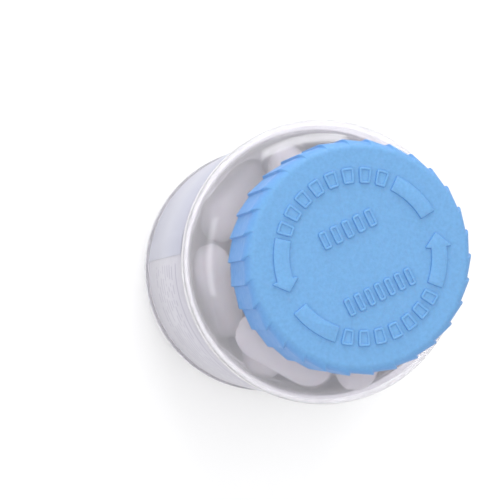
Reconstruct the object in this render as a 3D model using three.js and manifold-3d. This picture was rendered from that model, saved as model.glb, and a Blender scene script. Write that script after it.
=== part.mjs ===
// A clear wide-mouth tablet bottle with a push-and-turn child-resistant cap, full of large white tablets.
// Millimetres, +Z up. The origin is in the middle of the base, on the plane the bottle stands on.

import * as THREE from 'three';
import { mergeVertices } from 'three/addons/utils/BufferGeometryUtils.js';
import Module from 'manifold-3d';

// ---- driving dimensions ----

// bottle
const BODY_R = 27.9;            // heel and shoulder bulge
const PANEL_R = 27.3;           // recessed label panel
const WALL = 1.0;
const HEEL_H = 6.5;             // height where the heel reaches the full radius
const STAND_IN_R = 19.5;        // standing ring, inner and outer edge
const STAND_OUT_R = 22.0;
const PUSH_UP_H = 3.9;          // middle of the base above the standing ring
const PUSH_UP_CURVE = [[10, PUSH_UP_H - 0.6], [16.8, 1.6]];   // [radius, height] across the base
const PANEL_BOTTOM_Z = 9.4;
const PANEL_TOP_Z = 58.8;
const BULGE_Z = 62.0;           // widest plane of the shoulder
const DOME_H = 9.6;
const DOME_CENTRE_R = 18.0;
const STEP_LOW_H = 1.0;         // slope from the heel into the label panel
const STEP_HIGH_H = 1.3;        // slope from the panel out to the shoulder
const STEP_LOW_IN = [-1.1, -0.2];   // the same slopes inside, measured from the panel's two ends
const STEP_HIGH_IN = [0.3, 1.4];

// neck finish, 38 mm continuous thread
const NECK_R = 17.45;
const BORE_R = 16.0;
const NECK_TOP_Z = 83.05;
const THREAD_R = 18.6;
const PITCH = 25.4 / 6;
const NECK_ROOT_H = 0.7;        // foot of the neck wall above the dome
const BORE_ROOT_H = 0.6;
const BORE_FLARE = 0.5;
const LIP_CHAMFER_H = 0.5;
const LIP_CHAMFER_W = 0.4;
const BORE_CHAMFER = 0.3;
const BOTTLE_THREAD = { turns: 1.5, wallWidth: 2.4, crestWidth: 1.0 };
const CAP_THREAD = { turns: 1.2, wallWidth: 1.5, crestWidth: 0.6 };
const THREAD_TO_LAND = 1.5;     // end of the bottle's thread below the sealing land
const THREAD_OFFSET = 1.5;      // tight cap: its thread bears on the bottle's from this far below
const THREAD_FADE = 0.09;       // share of a thread's length that fades in, and that fades out
const THREAD_ROOT = 0.4;        // how far a thread is sunk into its wall
const THREAD_LEAST = 0.02;      // height left at a thread's very ends, as a share of the full height
const THREAD_SEGMENTS = 28.8;   // per turn

// cap stack, from the sealing land upwards
const FIT = 0.05;               // gap between faces that rest on each other
const LINER_T = 0.85;
const LINER_R = 18.5;
const DECK_T = 1.2;             // top wall of the inner cap
const SPRING_GAP = 3.0;         // from the inner cap's deck to the underside of the outer cap
const TOP_WALL = 1.4;           // top wall of the outer cap
const TOP_EDGE_H = 2.4;         // height of the rounded edge round the cap's top
const SKIRT_H = 12.8;           // toothed side wall below that edge

const INNER_CAP_R = 19.8;
const INNER_CAP_BORE_R = 18.9;
const INNER_THREAD_R = 17.8;    // crest of the thread inside the inner cap
const INNER_SKIRT_UP = 1.4;     // bottom edge of the inner cap above the outer cap's
const CAP_THREAD_UP = 0.9;      // start of that thread above the inner cap's bottom edge
const CAP_CHAMFER = 0.8;
const OUTER_BORE_R = 20.0;
const BEAD_R = 19.35;           // snap bead that holds the inner cap in
const BEAD_HEIGHTS = [0.4, 0.7, 1.1];   // its lower edge, upper edge and the top of its slope
const MOUTH_FLARE = 0.4;
const FOOT_SETBACK = 0.02;
const TIP_R = 21.4;             // tips of the ratchet-shaped grip teeth
const TOOTH_DEPTH = 0.51;
const TEETH = 30;
const TOOTH_PHASE = 2.0;        // degrees
const TOOTH_STEP = 0.42;        // degrees from a tip back to the next valley
const TOOTH_LEAN = 2.8;         // degrees a tooth leans over on the rounded edge
const TOP_FLAT_R = 19.3;        // flat top face inside the rounded edge
const RELIEF_H = 0.35;          // raised arrows and marks
const DRIVE_LUGS = 8;
const LUG_H = 1.25;
const LUG_IN_R = 15.0;
const LUG_OUT_R = 18.4;
const LUG_PLAY = 1.5;           // degrees each lug is short of a quarter of the lug pitch
const JOIN_DEPTH = 0.3;         // how far a raised feature is sunk into what carries it

// spring ring between the two caps
const SPRING_IN_R = 9;
const SPRING_OUT_R = 13.5;
const SPRING_T = 0.7;
const LEAVES = 6;
const LEAF_IN_R = 9.6;
const LEAF_OUT_R = 12.9;
const LEAF_T = 0.6;
const LEAF_SPAN = 44;           // degrees
const LEAF_CLIMB = 0.85;        // share of a leaf's length over which it climbs

// raised arrows and blank marks on the cap; angles in degrees, counter-clockwise from +X
const ARROW_OUT_R = 16.07;
const ARROW_IN_R = 13.07;
const ARROW_BARB = 1.25;
const HEAD_OVERLAP = 0.5;       // degrees the head's base reaches back over the shaft
// Each arrow bends counter-clockwise round the cap: a tail, a row of marks, a shaft and a head.
const ARROWS = [
  { tail: [-141, -108], marks: [-106, -24], count: 7, shaft: [-21, 7], tip: 18 },
  { tail: [31, 65], marks: [68, 167], count: 8, shaft: [168, 197], tip: 206 },
];
const MARK_START = 0.14;        // where a mark starts and how long it is, as shares of its step
const MARK_FILL = 0.72;
// Two short rows of marks across the middle.
const MIDDLE_ROWS = [
  { count: 5, x: -2.4, y: 4.9, length: 11.6 },
  { count: 7, x: 3.4, y: -6.3, length: 14.4 },
];
const MIDDLE_TILT = 26;
const MIDDLE_FILL = 0.7;
const MIDDLE_MARK_L = 3.4;

// label
const LABEL_T = 0.12;
const LABEL_BOTTOM_Z = 11.0;
const LABEL_TOP_Z = 57.2;
const LABEL_SEAM = 170;         // degrees; a whole number of steps of the turned outline
const LAP_SEGMENTS = 1;         // the lap, in steps of the turned outline

// tablets
const TABLET_COUNT = 52;
const TABLET_L = 20.2;
const TABLET_W = 10.5;
const TABLET_T = 8.7;
const TABLET_BAND = 2.2;        // height of the straight band round the tablet's edge
const TABLET_INSET = 2.2;       // from the band in to the edge of the flat of each face
const TABLET_CLEARANCE = 0.16;
const WALL_CLEARANCE = 0.15;

// how the tablets shake down
const LOAD_SEED = 3;
const ROLL_SEED = 77;
const SETTLE_STEPS = 1600;
const LOAD_R = 19;              // the loose column they start in
const LOAD_BOTTOM_Z = 9;
const LOAD_HEADROOM = 17;
const LOAD_TILT = 1.6;          // radians between the steepest tilts
const CEILING_DROP = 1.5;       // below the foot of the neck
const PULL = 0.03;              // downwards at each step, until PULL_FADE runs it out
const PULL_FADE = 1.4;
const START_SIZE = 0.3;         // they start small and grow to full size
const GROWTH = 1.2;

const TURN_SEGMENTS = 36;
const WELD = 1e-4;

// ---- levels that follow from them ----

const LINER_BOTTOM_Z = NECK_TOP_Z + FIT;
const LINER_TOP_Z = LINER_BOTTOM_Z + LINER_T;
const DECK_BOTTOM_Z = LINER_TOP_Z + FIT;
const DECK_TOP_Z = DECK_BOTTOM_Z + DECK_T;
const UNDERSIDE_Z = DECK_TOP_Z + SPRING_GAP;
const CAP_TOP_Z = UNDERSIDE_Z + TOP_WALL;
const EDGE_Z = CAP_TOP_Z - TOP_EDGE_H;
const SKIRT_BOTTOM_Z = EDGE_Z - SKIRT_H;
const INNER_SKIRT_Z = SKIRT_BOTTOM_Z + INNER_SKIRT_UP;
const NECK_ROOT_Z = BULGE_Z + DOME_H;

// The bottle's thread starts at its datum. When the cap is tight, its thread pulls up from below.
const BOTTLE_THREAD_Z = NECK_TOP_Z - THREAD_TO_LAND - BOTTLE_THREAD.turns * PITCH;
const CAP_THREAD_Z = BOTTLE_THREAD_Z - THREAD_OFFSET;

const degrees = THREE.MathUtils.degToRad;
const wasm = await Module();
wasm.setup();

// ---- helpers ----

// The same surface with shared corners and no zero-area triangles, as one closed mesh.
function closed(geometry) {
  const bare = geometry.clone();
  bare.deleteAttribute('normal');
  bare.deleteAttribute('uv');
  const merged = mergeVertices(bare, WELD);
  const kept = [];
  for (let i = 0; i < merged.index.count; i += 3) {
    const [a, b, c] = [0, 1, 2].map((k) => merged.index.getX(i + k));
    if (a !== b && b !== c && c !== a) kept.push(a, b, c);
  }
  merged.setIndex(kept);
  return merged;
}

function toManifold(geometry) {
  const surface = closed(geometry);
  return new wasm.Manifold(new wasm.Mesh({
    numProp: 3,
    vertProperties: surface.attributes.position.array,
    triVerts: new Uint32Array(surface.index.array),
  }));
}

function fromManifold(solid) {
  const mesh = solid.getMesh();
  const geometry = new THREE.BufferGeometry();
  geometry.setAttribute('position', new THREE.BufferAttribute(mesh.vertProperties, 3));
  geometry.setIndex(new THREE.BufferAttribute(mesh.triVerts, 1));
  return geometry;
}

function join(...geometries) {
  const [first, ...rest] = geometries.map(toManifold);
  return fromManifold(rest.reduce((whole, piece) => whole.add(piece), first));
}

// A solid of revolution about Z from [radius, height] points.
function revolve(profile, segments = TURN_SEGMENTS) {
  const points = profile.map(([r, z]) => new THREE.Vector2(r, z));
  const geometry = new THREE.LatheGeometry(points, segments);
  geometry.rotateX(Math.PI / 2);
  return geometry;
}

// Points on a quarter-like elliptical arc, from angle a0 to a1 in degrees.
function arc(cr, cz, rr, rz, a0, a1, steps) {
  return Array.from({ length: steps + 1 }, (_, i) => {
    const a = degrees(a0 + ((a1 - a0) * i) / steps);
    return [cr + rr * Math.cos(a), cz + rz * Math.sin(a)];
  });
}

// A bar bent round the Z axis. shape(along, radial, up) returns [angle, radius, height];
// along runs from 0 to 1, and radial and up are -1 or 1.
function wrap(segments, shape) {
  const geometry = new THREE.BoxGeometry(2, 1, 2, 1, segments, 1);
  const position = geometry.attributes.position;
  for (let i = 0; i < position.count; i += 1) {
    const [angle, r, z] = shape(position.getY(i) + 0.5, position.getX(i), position.getZ(i));
    position.setXYZ(i, r * Math.cos(angle), r * Math.sin(angle), z);
  }
  return geometry;
}

// A screw thread: a trapezoid ridge that fades into its wall at both ends. It climbs one pitch a
// turn, is at datumZ at angle 0, and starts firstTurn turns later.
function thread({ wall, crest, datumZ, firstTurn, turns, wallWidth, crestWidth }) {
  return wrap(Math.round(turns * THREAD_SEGMENTS), (along, radial, up) => {
    const angle = (firstTurn + along * turns) * 2 * Math.PI;
    const grow = Math.min(1, along / THREAD_FADE, (1 - along) / THREAD_FADE);
    const outward = Math.sign(crest - wall) * radial > 0;
    const root = wall - Math.sign(crest - wall) * THREAD_ROOT;
    const tip = wall + (crest - wall) * Math.max(grow, THREAD_LEAST);
    const width = outward ? crestWidth : wallWidth;
    return [angle, outward ? tip : root, datumZ + (PITCH * angle) / (2 * Math.PI) + (up * width) / 2];
  });
}

function part(name, geometry, material) {
  const mesh = new THREE.Mesh(closed(geometry), material);
  mesh.name = name;
  return mesh;
}

// ---- materials ----

const clearPet = new THREE.MeshStandardMaterial({
  color: 0xdfe4ea, roughness: 0.08, metalness: 0, transparent: true, opacity: 0.3,
});
const blueCap = new THREE.MeshStandardMaterial({ color: 0x7fb4e7, roughness: 0.42, metalness: 0 });
const whiteShell = new THREE.MeshStandardMaterial({ color: 0xf2f2ef, roughness: 0.45, metalness: 0 });
const foam = new THREE.MeshStandardMaterial({ color: 0xf4f1e8, roughness: 0.8, metalness: 0 });
const labelFilm = new THREE.MeshStandardMaterial({ color: 0xe6e5ee, roughness: 0.38, metalness: 0 });
const tabletWhite = new THREE.MeshStandardMaterial({ color: 0xe9e7e6, roughness: 0.75, metalness: 0 });

// ---- bottle ----

// The inside of the bottle, from the middle of the floor up to the top of the bore.
const INSIDE = [
  [0, PUSH_UP_H + WALL],
  ...PUSH_UP_CURVE.map(([r, z]) => [r, z + WALL]),
  [STAND_IN_R, WALL],
  ...arc(STAND_OUT_R, HEEL_H, BODY_R - WALL - STAND_OUT_R, HEEL_H - WALL, -90, 0, 4),
  [BODY_R - WALL, PANEL_BOTTOM_Z + STEP_LOW_IN[0]],
  [PANEL_R - WALL, PANEL_BOTTOM_Z + STEP_LOW_IN[1]],
  [PANEL_R - WALL, PANEL_TOP_Z + STEP_HIGH_IN[0]],
  [BODY_R - WALL, PANEL_TOP_Z + STEP_HIGH_IN[1]],
  ...arc(DOME_CENTRE_R, BULGE_Z, BODY_R - WALL - DOME_CENTRE_R, DOME_H - WALL, 0, 88, 5),
  [BORE_R + BORE_FLARE, NECK_ROOT_Z - BORE_FLARE],
  [BORE_R, NECK_ROOT_Z + BORE_ROOT_H],
];

function bottle() {
  const outside = [
    [0, PUSH_UP_H],
    ...PUSH_UP_CURVE,
    [STAND_IN_R, 0],
    ...arc(STAND_OUT_R, HEEL_H, BODY_R - STAND_OUT_R, HEEL_H, -90, 0, 4),
    [BODY_R, PANEL_BOTTOM_Z - STEP_LOW_H],
    [PANEL_R, PANEL_BOTTOM_Z],
    [PANEL_R, PANEL_TOP_Z],
    [BODY_R, PANEL_TOP_Z + STEP_HIGH_H],
    ...arc(DOME_CENTRE_R, BULGE_Z, BODY_R - DOME_CENTRE_R, DOME_H, 0, 90, 5),
    [NECK_R, NECK_ROOT_Z + NECK_ROOT_H],
    [NECK_R, NECK_TOP_Z - LIP_CHAMFER_H],
    [NECK_R - LIP_CHAMFER_W, NECK_TOP_Z],
    [BORE_R + BORE_CHAMFER, NECK_TOP_Z],
    [BORE_R, NECK_TOP_Z - BORE_CHAMFER],
  ];
  const shell = revolve([...outside, ...INSIDE.toReversed()]);
  const ridge = thread({
    ...BOTTLE_THREAD, wall: NECK_R, crest: THREAD_R, datumZ: BOTTLE_THREAD_Z, firstTurn: 0,
  });
  return part('bottle', join(shell, ridge), clearPet);
}

// ---- label: a film wound once round the panel, its end lapped over its start ----

function label() {
  const segments = TURN_SEGMENTS + LAP_SEGMENTS;
  const step = (2 * Math.PI) / TURN_SEGMENTS;
  const film = wrap(segments, (along, radial, up) => {
    const turned = along * segments;
    const lift = turned > TURN_SEGMENTS - 0.5 ? LABEL_T + FIT : 0;
    const r = PANEL_R + FIT + lift + (radial > 0 ? LABEL_T : 0);
    return [degrees(LABEL_SEAM) + turned * step, r, up > 0 ? LABEL_TOP_Z : LABEL_BOTTOM_Z];
  });
  return part('label', film, labelFilm);
}

// ---- closure ----

function liner() {
  const geometry = new THREE.CylinderGeometry(LINER_R, LINER_R, LINER_T, TURN_SEGMENTS);
  geometry.rotateX(Math.PI / 2);
  geometry.translate(0, 0, (LINER_BOTTOM_Z + LINER_TOP_Z) / 2);
  return part('liner', geometry, foam);
}

// Drive lugs in a ring. The cap's own lugs sit half a pitch away from the inner cap's.
function driveLugs(low, high, phase) {
  const halfWidth = degrees(360 / DRIVE_LUGS / 4 - LUG_PLAY);
  return Array.from({ length: DRIVE_LUGS }, (_, i) => {
    const middle = phase + (i * 2 * Math.PI) / DRIVE_LUGS;
    return wrap(2, (along, radial, up) => [
      middle + (along * 2 - 1) * halfWidth, radial > 0 ? LUG_OUT_R : LUG_IN_R, up > 0 ? high : low,
    ]);
  });
}

function innerCap() {
  const shell = revolve([
    [0, DECK_BOTTOM_Z],
    [INNER_CAP_BORE_R, DECK_BOTTOM_Z],
    [INNER_CAP_BORE_R, INNER_SKIRT_Z],
    [INNER_CAP_R, INNER_SKIRT_Z],
    [INNER_CAP_R, DECK_TOP_Z - CAP_CHAMFER],
    [INNER_CAP_R - CAP_CHAMFER, DECK_TOP_Z],
    [0, DECK_TOP_Z],
  ]);
  const ridge = thread({
    ...CAP_THREAD, wall: INNER_CAP_BORE_R, crest: INNER_THREAD_R, datumZ: CAP_THREAD_Z,
    firstTurn: (INNER_SKIRT_Z + CAP_THREAD_UP - CAP_THREAD_Z) / PITCH,
  });
  const lugs = driveLugs(DECK_TOP_Z - JOIN_DEPTH, DECK_TOP_Z + LUG_H, 0);
  return part('inner_cap', join(shell, ridge, ...lugs), whiteShell);
}

// A flat ring with leaf fingers that rise to the underside of the outer cap.
function springRing() {
  const low = DECK_TOP_Z + FIT;
  const high = UNDERSIDE_Z - FIT;
  const ringTop = low + SPRING_T;
  const ring = revolve([
    [SPRING_IN_R, low], [SPRING_OUT_R, low], [SPRING_OUT_R, ringTop], [SPRING_IN_R, ringTop],
    [SPRING_IN_R, low],
  ]);
  const leaves = Array.from({ length: LEAVES }, (_, i) => wrap(6, (along, radial, up) => {
    const angle = (i * 2 * Math.PI) / LEAVES + along * degrees(LEAF_SPAN);
    const top = ringTop + THREE.MathUtils.smoothstep(along, 0, LEAF_CLIMB) * (high - ringTop);
    return [angle, radial > 0 ? LEAF_OUT_R : LEAF_IN_R, up > 0 ? top : top - LEAF_T];
  }));
  return part('spring_ring', join(ring, ...leaves), whiteShell);
}

// Where one of the skirt's corners goes: teeth slope up to a tip and drop straight back.
// lean is 0 on the side wall and 1 at the flat top, where the teeth have faded out.
function toothCorner(index, lean) {
  const pitch = (2 * Math.PI) / TEETH;
  const isValley = index % 2 === 0;
  const tooth = Math.floor(index / 2);
  const start = tooth * pitch + degrees(TOOTH_PHASE - TOOTH_LEAN * lean);
  const angle = start + (isValley ? 0 : pitch - degrees(TOOTH_STEP));
  return { angle, drop: isValley ? TOOTH_DEPTH * (1 - lean) : 0 };
}

function toothedShell() {
  const [beadLow, beadHigh, beadSlope] = BEAD_HEIGHTS;
  const inside = [
    [0, UNDERSIDE_Z],
    [OUTER_BORE_R - CAP_CHAMFER, UNDERSIDE_Z],
    [OUTER_BORE_R, UNDERSIDE_Z - CAP_CHAMFER],
    [OUTER_BORE_R, SKIRT_BOTTOM_Z + beadSlope],
    [BEAD_R, SKIRT_BOTTOM_Z + beadHigh],
    [BEAD_R, SKIRT_BOTTOM_Z + beadLow],
    [BEAD_R + MOUTH_FLARE, SKIRT_BOTTOM_Z],
  ];
  const outside = [
    [TIP_R - FOOT_SETBACK, SKIRT_BOTTOM_Z],
    ...arc(TOP_FLAT_R, EDGE_Z, TIP_R - TOP_FLAT_R, TOP_EDGE_H, 0, 90, 4),
    [0, CAP_TOP_Z],
  ];
  const profile = [...inside, ...outside];
  const geometry = revolve(profile, 2 * TEETH);
  const position = geometry.attributes.position;
  for (let i = 0; i < position.count; i += 1) {
    const [r, z] = profile[i % profile.length];
    const isOutside = i % profile.length >= inside.length;
    const lean = isOutside ? THREE.MathUtils.clamp((z - EDGE_Z) / TOP_EDGE_H, 0, 1) : 0;
    const { angle, drop } = toothCorner(Math.floor(i / profile.length) % (2 * TEETH), lean);
    const moved = isOutside && r > 0 ? r - drop : r;
    position.setXYZ(i, moved * Math.cos(angle), moved * Math.sin(angle), z);
  }
  return geometry;
}

// Raised shapes on the top face start a little under it, so that they join it.
function raised({ shape, curveSegments }) {
  const geometry = new THREE.ExtrudeGeometry(shape, {
    depth: RELIEF_H + JOIN_DEPTH, bevelEnabled: false, curveSegments,
  });
  geometry.translate(0, 0, CAP_TOP_Z - JOIN_DEPTH);
  return geometry;
}

function band(from, to) {
  const shape = new THREE.Shape();
  shape.absarc(0, 0, ARROW_OUT_R, degrees(from), degrees(to), false);
  shape.absarc(0, 0, ARROW_IN_R, degrees(to), degrees(from), true);
  shape.closePath();
  return shape;
}

function arrowHead(base, tip) {
  const middle = (ARROW_IN_R + ARROW_OUT_R) / 2;
  const at = (r, a) => new THREE.Vector2(r * Math.cos(degrees(a)), r * Math.sin(degrees(a)));
  return new THREE.Shape([
    at(ARROW_IN_R - ARROW_BARB, base - HEAD_OVERLAP),
    at(ARROW_OUT_R + ARROW_BARB, base - HEAD_OVERLAP),
    at(middle, tip),
  ]);
}

function relief() {
  const shapes = [];
  for (const { tail, marks, count, shaft, tip } of ARROWS) {
    for (const shape of [band(...tail), band(...shaft), arrowHead(shaft[1], tip)]) {
      shapes.push({ shape, curveSegments: 3 });
    }
    const step = (marks[1] - marks[0]) / count;
    for (let i = 0; i < count; i += 1) {
      const from = marks[0] + step * (i + MARK_START);
      shapes.push({ shape: band(from, from + step * MARK_FILL), curveSegments: 1 });
    }
  }
  return shapes.map(raised);
}

function middleRows() {
  return MIDDLE_ROWS.flatMap(({ count, x, y, length }) => Array.from({ length: count }, (_, i) => {
    const step = length / count;
    const mark = new THREE.BoxGeometry(step * MIDDLE_FILL, MIDDLE_MARK_L, RELIEF_H + JOIN_DEPTH);
    mark.translate((i + 0.5) * step - length / 2, 0, CAP_TOP_Z + (RELIEF_H - JOIN_DEPTH) / 2);
    mark.rotateZ(degrees(MIDDLE_TILT));
    mark.translate(x, y, 0);
    return mark;
  }));
}

function outerCap() {
  const lugs = driveLugs(UNDERSIDE_Z - LUG_H, UNDERSIDE_Z + JOIN_DEPTH, Math.PI / DRIVE_LUGS);
  return part('outer_cap', join(toothedShell(), ...lugs, ...relief(), ...middleRows()), blueCap);
}

// ---- tablets ----

// Repeatable numbers from 0 to 1.
function numbers(seed) {
  let state = seed;
  return () => {
    state = (Math.imul(state, 1664525) + 1013904223) >>> 0;
    return state / 2 ** 32;
  };
}

// Closest points between rods p0-p1 and q0-q1, as fractions along each.
function closestOnRods(p0, p1, q0, q1) {
  const d1 = p1.clone().sub(p0);
  const d2 = q1.clone().sub(q0);
  const r = p0.clone().sub(q0);
  const a = d1.lengthSq();
  const e = d2.lengthSq();
  const b = d1.dot(d2);
  const c = d1.dot(r);
  const f = d2.dot(r);
  const spread = a * e - b * b;
  const clamp = (v) => THREE.MathUtils.clamp(v, 0, 1);
  let s = spread > 1e-9 ? clamp((b * f - c * e) / spread) : 0.5;
  const t = clamp((b * s + f) / e);
  s = clamp((b * t - c) / a);
  return [s, t];
}

// How far a ball at a point has to move to come off the bottle's inside wall.
function wallPush(point, radius) {
  const r = Math.hypot(point.x, point.y);
  let best = { distance: Infinity };
  for (let i = 0; i + 1 < INSIDE.length; i += 1) {
    const [r0, z0] = INSIDE[i];
    const [r1, z1] = INSIDE[i + 1];
    const [dr, dz] = [r1 - r0, z1 - z0];
    const t = THREE.MathUtils.clamp(((r - r0) * dr + (point.z - z0) * dz) / (dr * dr + dz * dz), 0, 1);
    const [wr, wz] = [r0 + dr * t, z0 + dz * t];
    const distance = Math.hypot(r - wr, point.z - wz);
    const length = Math.hypot(dr, dz);
    if (distance < best.distance) best = { distance, nr: -dz / length, nz: dr / length, wr, wz };
  }
  const depth = radius - ((r - best.wr) * best.nr + (point.z - best.wz) * best.nz);
  if (best.distance > radius * 1.5 || depth <= 0) return new THREE.Vector3();
  const sideways = r > 1e-6 ? (best.nr * depth) / r : 0;
  return new THREE.Vector3(point.x * sideways, point.y * sideways, best.nz * depth);
}

// Each tablet is held as a rod with round ends while the whole load shakes down in the bottle.
function settle() {
  const radius = TABLET_W / 2 + TABLET_CLEARANCE;
  const reach = TABLET_L - TABLET_W;
  const ceiling = NECK_ROOT_Z - CEILING_DROP;
  const random = numbers(LOAD_SEED);
  const rods = Array.from({ length: TABLET_COUNT }, (_, i) => {
    const turn = random() * 2 * Math.PI;
    const out = Math.sqrt(random()) * LOAD_R;
    const up = ((i + random()) / TABLET_COUNT) * (ceiling - LOAD_HEADROOM);
    const centre = new THREE.Vector3(out * Math.cos(turn), out * Math.sin(turn), LOAD_BOTTOM_Z + up);
    const heading = random() * 2 * Math.PI;
    const tilt = (random() - 0.5) * LOAD_TILT;
    const half = new THREE.Vector3(
      Math.cos(heading) * Math.cos(tilt), Math.sin(heading) * Math.cos(tilt), Math.sin(tilt),
    ).multiplyScalar(reach / 2);
    return [centre.clone().sub(half), centre.clone().add(half)];
  });
  for (let step = 0; step < SETTLE_STEPS; step += 1) {
    const done = step / SETTLE_STEPS;
    const pull = PULL * Math.max(0, 1 - done * PULL_FADE);
    const grown = radius * Math.min(1, START_SIZE + done * GROWTH);
    for (const [a, b] of rods) {
      a.z -= pull;
      b.z -= pull;
    }
    for (let i = 0; i < rods.length; i += 1) {
      for (let j = 0; j < i; j += 1) {
        const [p, q] = [rods[i], rods[j]];
        const far = Math.abs(p[0].z + p[1].z - q[0].z - q[1].z) / 2;
        if (far > TABLET_L) continue;
        const [s, t] = closestOnRods(p[0], p[1], q[0], q[1]);
        const away = p[0].clone().lerp(p[1], s).sub(q[0].clone().lerp(q[1], t));
        const distance = Math.max(away.length(), 1e-6);
        const overlap = 2 * grown - distance;
        if (overlap <= 0) continue;
        away.multiplyScalar((overlap * 0.5) / distance);
        p[0].addScaledVector(away, 1 - s);
        p[1].addScaledVector(away, s);
        q[0].addScaledVector(away, t - 1);
        q[1].addScaledVector(away, -t);
      }
    }
    for (const rod of rods) {
      for (const s of [0, 0.5, 1]) {
        const push = wallPush(rod[0].clone().lerp(rod[1], s), grown + WALL_CLEARANCE);
        rod[0].addScaledVector(push, Math.min(1, 2 - 2 * s));
        rod[1].addScaledVector(push, Math.min(1, 2 * s));
      }
      for (const end of rod) end.z = Math.min(end.z, ceiling - grown * 0.5);
      const axis = rod[1].clone().sub(rod[0]);
      axis.multiplyScalar((axis.length() - reach) / axis.length() / 2);
      rod[0].add(axis);
      rod[1].sub(axis);
    }
  }
  return rods;
}

// A long tablet: round-ended in plan, with a straight band and softly crowned faces.
function tabletGeometry() {
  const crown = (TABLET_T - TABLET_BAND) / 2;
  const endR = TABLET_W / 2 - TABLET_INSET;
  const half = (TABLET_L - TABLET_W) / 2;
  const shape = new THREE.Shape();
  shape.absarc(half, 0, endR, -Math.PI / 2, Math.PI / 2, false);
  shape.absarc(-half, 0, endR, Math.PI / 2, (3 * Math.PI) / 2, false);
  shape.closePath();
  const geometry = new THREE.ExtrudeGeometry(shape, {
    depth: TABLET_BAND, bevelThickness: crown, bevelSize: TABLET_INSET, bevelSegments: 1, curveSegments: 2,
  });
  geometry.translate(0, 0, -TABLET_BAND / 2);
  return geometry;
}

function tablets() {
  const geometry = tabletGeometry();
  const random = numbers(ROLL_SEED);
  return settle().map(([a, b], i) => {
    const tablet = part(`tablet_${String(i + 1).padStart(2, '0')}`, geometry, tabletWhite);
    const along = b.clone().sub(a).normalize();
    const lay = new THREE.Quaternion().setFromUnitVectors(new THREE.Vector3(1, 0, 0), along);
    const roll = new THREE.Quaternion().setFromAxisAngle(new THREE.Vector3(1, 0, 0), random() * Math.PI);
    tablet.quaternion.copy(lay.multiply(roll));
    tablet.position.copy(a.clone().lerp(b, 0.5));
    return tablet;
  });
}

// ---- assembly ----

const vial = new THREE.Group();
vial.add(bottle(), label(), ...tablets());
const closure = new THREE.Group();
closure.add(liner(), innerCap(), springRing(), outerCap());
vial.add(closure);

export default vial;
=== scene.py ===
# A clear wide-mouth tablet bottle with a push-and-turn cap, seen from above on a pale floor.
# Meshes are worked out in millimetres and written in metres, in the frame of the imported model.
import math

import bmesh
import bpy
import numpy as np
from mathutils import Matrix, Vector, noise


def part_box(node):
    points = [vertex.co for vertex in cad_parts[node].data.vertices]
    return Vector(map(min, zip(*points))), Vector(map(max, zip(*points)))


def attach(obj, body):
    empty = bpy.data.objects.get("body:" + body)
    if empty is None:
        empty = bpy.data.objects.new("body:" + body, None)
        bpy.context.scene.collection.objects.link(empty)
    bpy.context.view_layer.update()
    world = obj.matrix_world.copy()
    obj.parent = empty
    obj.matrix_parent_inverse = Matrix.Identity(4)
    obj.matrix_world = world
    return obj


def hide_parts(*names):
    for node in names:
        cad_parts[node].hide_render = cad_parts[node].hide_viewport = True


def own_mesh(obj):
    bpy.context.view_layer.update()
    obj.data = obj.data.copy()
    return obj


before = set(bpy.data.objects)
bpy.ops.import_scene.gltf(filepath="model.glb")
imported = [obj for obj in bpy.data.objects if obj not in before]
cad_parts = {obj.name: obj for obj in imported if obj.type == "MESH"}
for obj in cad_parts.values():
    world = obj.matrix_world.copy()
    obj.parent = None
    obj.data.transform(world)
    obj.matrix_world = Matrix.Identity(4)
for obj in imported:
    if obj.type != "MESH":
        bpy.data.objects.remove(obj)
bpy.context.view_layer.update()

MM = 0.001


def level(node, top):
    """The lowest or highest height of a CAD node, in millimetres."""
    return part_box(node)[1 if top else 0].z / MM


# ---- sizes in millimetres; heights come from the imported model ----

FIT = 0.05               # gap between faces that rest on each other
JOIN_DEPTH = 0.3         # how far a raised feature is sunk into what carries it

BODY_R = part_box("bottle")[1].x / MM
PANEL_R = BODY_R - 0.6   # recessed label panel
PANEL_BOTTOM_Z = 9.4
PANEL_TOP_Z = 58.8
WALL = 1.0
WALL_SET_IN = 0.04       # how far the inside face stands in on average, and how far it wanders
WALL_DRIFT = 0.03
HEEL_H = 6.5
STAND_IN_R = 19.5        # standing ring, inner and outer edge
STAND_OUT_R = 22.0
PUSH_UP_H = 3.9          # middle of the base above the standing ring
PUSH_UP_CURVE = [(10, PUSH_UP_H - 0.6, 14), (16.8, 1.6, 5)]   # (radius, height, rounding)
BULGE_Z = 62.0           # widest plane of the shoulder
DOME_H = 9.6
DOME_TOP_Z = BULGE_Z + DOME_H
DOME_CENTRE_R = 18.0
NECK_R = 17.45
BORE_R = 16.0
NECK_TOP_Z = level("bottle", True)
THREAD_R = 18.6
PITCH = 25.4 / 6
BOTTLE_TURNS = 1.5
BOTTLE_THREAD_WIDTHS = (2.4, 1.0)   # at the wall and at the crest
BOTTLE_THREAD_Z = NECK_TOP_Z - 1.5 - BOTTLE_TURNS * PITCH
THREAD_FADE = 0.09       # share of a thread's length that fades in, and that fades out
BOTTLE_COLUMNS = 320

LABEL_T = 0.12
LABEL_START = 170.0      # degrees
LABEL_LAP = 6.5          # degrees
LAP_LIFT = 0.13          # the lap lies on the film's first end, which is LABEL_T thick
LAP_RAMP = (356, 358.5)  # degrees of the film over which it lifts, short of that end

# The label's print, and a darker, bluer zone just before the seam: degrees back from its seam and
# millimetres up the bottle.
ROW_PITCH = 3.1
ROWS_ROUND = (3, 72)
ROWS_UP = (21.7, 46.5)
RULE_ROUND = (3, 106)
RULE_UP = (49.3, 50.5)
BAND_ROUND = (118, 236)
BAND_UP = (20, 44)
TINT_ROUND = (262, 362)

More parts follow.
